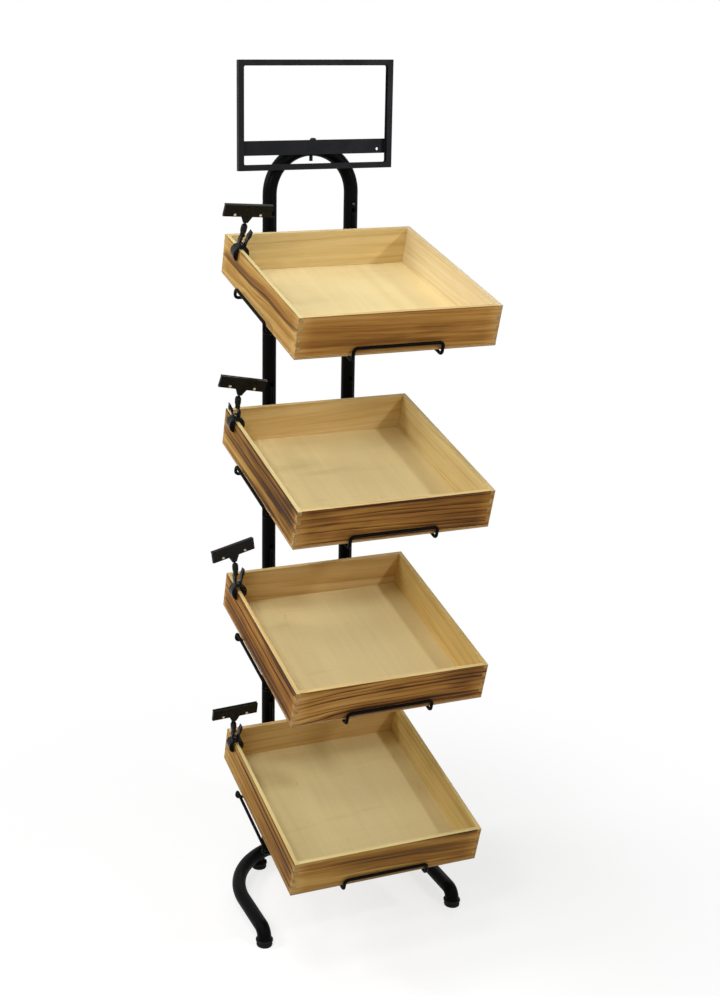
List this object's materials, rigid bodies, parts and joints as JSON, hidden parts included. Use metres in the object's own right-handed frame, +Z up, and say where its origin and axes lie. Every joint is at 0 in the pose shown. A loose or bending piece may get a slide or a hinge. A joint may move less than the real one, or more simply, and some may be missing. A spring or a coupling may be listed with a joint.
{
  "type": "crate floor display",
  "caption": "Free-standing tube display with shallow wooden crates on sloping wire racks, a sign frame on top and card clips on the crate rims.",
  "frame": {"origin": "on the floor, under the middle of the display's plan", "axes": "+X to the right and +Y to the back, as seen by a shopper in front of the crates, +Z up"},
  "size_m": [0.4319, 0.3909, 1.5386],
  "materials": {
    "black_steel": "black powder coat, low sheen",
    "crate_pine": "torched pine boards, waxed",
    "crate_plywood": "natural pine plywood",
    "clip_plastic": "moulded black",
    "clip_stud": "pale moulded studs",
    "spring_steel": "bright spring steel",
    "foot_rubber": "black moulded rubber"
  },
  "bodies": {
    "display": {"base_frame": "black_steel", "left_front_foot": "foot_rubber", "left_rear_foot": "foot_rubber", "left_upright": "black_steel", "right_front_foot": "foot_rubber", "right_rear_foot": "foot_rubber", "right_upright": "black_steel", "sign_bracket": "black_steel", "sign_frame": "black_steel", "tier1_clip_arm": "clip_plastic", "tier1_clip_spring": "spring_steel", "tier1_crate_back": "crate_pine", "tier1_crate_floor": "crate_plywood", "tier1_crate_front": "crate_pine", "tier1_crate_left": "crate_pine", "tier1_crate_right": "crate_pine", "tier1_rack": "black_steel", "tier2_clip_arm": "clip_plastic", "tier2_clip_spring": "spring_steel", "tier2_crate_back": "crate_pine", "tier2_crate_floor": "crate_plywood", "tier2_crate_front": "crate_pine", "tier2_crate_left": "crate_pine", "tier2_crate_right": "crate_pine", "tier2_rack": "black_steel", "tier3_clip_arm": "clip_plastic", "tier3_clip_spring": "spring_steel", "tier3_crate_back": "crate_pine", "tier3_crate_floor": "crate_plywood", "tier3_crate_front": "crate_pine", "tier3_crate_left": "crate_pine", "tier3_crate_right": "crate_pine", "tier3_rack": "black_steel", "tier4_clip_arm": "clip_plastic", "tier4_clip_spring": "spring_steel", "tier4_crate_back": "crate_pine", "tier4_crate_floor": "crate_plywood", "tier4_crate_front": "crate_pine", "tier4_crate_left": "crate_pine", "tier4_crate_right": "crate_pine", "tier4_rack": "black_steel", "top_arch": "black_steel"},
    "left_button": {"left_snap_button": "spring_steel"},
    "right_button": {"right_snap_button": "spring_steel"},
    "tier1_gripper": {"tier1_clip_gripper": "clip_plastic", "tier1_clip_studs": "clip_stud"},
    "tier1_lever": {"tier1_clip_lever": "clip_plastic"},
    "tier1_neck": {"tier1_clip_neck": "clip_plastic"},
    "tier2_gripper": {"tier2_clip_gripper": "clip_plastic", "tier2_clip_studs": "clip_stud"},
    "tier2_lever": {"tier2_clip_lever": "clip_plastic"},
    "tier2_neck": {"tier2_clip_neck": "clip_plastic"},
    "tier3_gripper": {"tier3_clip_gripper": "clip_plastic", "tier3_clip_studs": "clip_stud"},
    "tier3_lever": {"tier3_clip_lever": "clip_plastic"},
    "tier3_neck": {"tier3_clip_neck": "clip_plastic"},
    "tier4_gripper": {"tier4_clip_gripper": "clip_plastic", "tier4_clip_studs": "clip_stud"},
    "tier4_lever": {"tier4_clip_lever": "clip_plastic"},
    "tier4_neck": {"tier4_clip_neck": "clip_plastic"}
  },
  "joints": [
    {"name": "tier1_clip_squeeze", "type": "hinge", "parent": "display", "child": "tier1_lever", "pos_m": [-0.16404, 0.11022, 0.31352], "axis": [0, -0.9613, -0.2756], "range_deg": [0, 12], "stiffness_Nm_per_rad": 0.3, "springref_deg": -11.46, "deforming": ["tier1_clip_spring"]},
    {"name": "tier1_neck_swivel", "type": "hinge", "parent": "display", "child": "tier1_neck", "pos_m": [-0.16883, 0.10399, 0.33527], "axis": [-0.1045, -0.2741, 0.956], "continuous": true},
    {"name": "tier1_gripper_tilt", "type": "hinge", "parent": "tier1_neck", "child": "tier1_gripper", "pos_m": [-0.17014, 0.10053, 0.34731], "axis": [0.052, -0.9615, -0.27], "range_deg": [-14, 26]},
    {"name": "tier2_clip_squeeze", "type": "hinge", "parent": "display", "child": "tier2_lever", "pos_m": [-0.1627, 0.09749, 0.62103], "axis": [0, -1, 0], "range_deg": [0, 12], "stiffness_Nm_per_rad": 0.3, "springref_deg": -11.46, "deforming": ["tier2_clip_spring"]},
    {"name": "tier2_neck_swivel", "type": "hinge", "parent": "display", "child": "tier2_neck", "pos_m": [-0.16629, 0.09749, 0.64387], "axis": [-0.0523, 0, 0.9986], "continuous": true},
    {"name": "tier2_gripper_tilt", "type": "hinge", "parent": "tier2_neck", "child": "tier2_gripper", "pos_m": [-0.16695, 0.09749, 0.65645], "axis": [0.2246, -0.9744, 0.0118], "range_deg": [-25, 15]},
    {"name": "tier3_clip_squeeze", "type": "hinge", "parent": "display", "child": "tier3_lever", "pos_m": [-0.1627, 0.10305, 0.92949], "axis": [0, 0.9613, 0.2756], "range_deg": [0, 12], "stiffness_Nm_per_rad": 0.3, "springref_deg": -11.46, "deforming": ["tier3_clip_spring"]},
    {"name": "tier3_neck_swivel", "type": "hinge", "parent": "display", "child": "tier3_neck", "pos_m": [-0.1615, 0.09669, 0.95169], "axis": [-0.0523, -0.2753, 0.9599], "continuous": true},
    {"name": "tier3_gripper_tilt", "type": "hinge", "parent": "tier3_neck", "child": "tier3_gripper", "pos_m": [-0.16216, 0.09322, 0.96379], "axis": [0, -0.9613, -0.2756], "range_deg": [-5.5, 34.5]},
    {"name": "tier4_clip_squeeze", "type": "hinge", "parent": "display", "child": "tier4_lever", "pos_m": [-0.15956, 0.08267, 1.23232], "axis": [0, -0.9135, -0.4067], "range_deg": [0, 12], "stiffness_Nm_per_rad": 0.3, "springref_deg": -11.46, "deforming": ["tier4_clip_spring"]},
    {"name": "tier4_neck_swivel", "type": "hinge", "parent": "display", "child": "tier4_neck", "pos_m": [-0.16035, 0.07327, 1.25344], "axis": [0.0698, -0.4057, 0.9113], "continuous": true},
    {"name": "tier4_gripper_tilt", "type": "hinge", "parent": "tier4_neck", "child": "tier4_gripper", "pos_m": [-0.15947, 0.06816, 1.26492], "axis": [0.0348, -0.912, -0.4087], "range_deg": [-19, 21]},
    {"name": "left_button_press", "type": "slide", "parent": "display", "child": "left_button", "axis": [0, 1, 0], "range_m": [0, 0.0043], "stiffness_N_per_m": 2500, "springref_m": -0.001, "deforming": ["left_snap_button"]},
    {"name": "right_button_press", "type": "slide", "parent": "display", "child": "right_button", "axis": [0, 1, 0], "range_m": [0, 0.0043], "stiffness_N_per_m": 2500, "springref_m": -0.001, "deforming": ["right_snap_button"]}
  ]
}
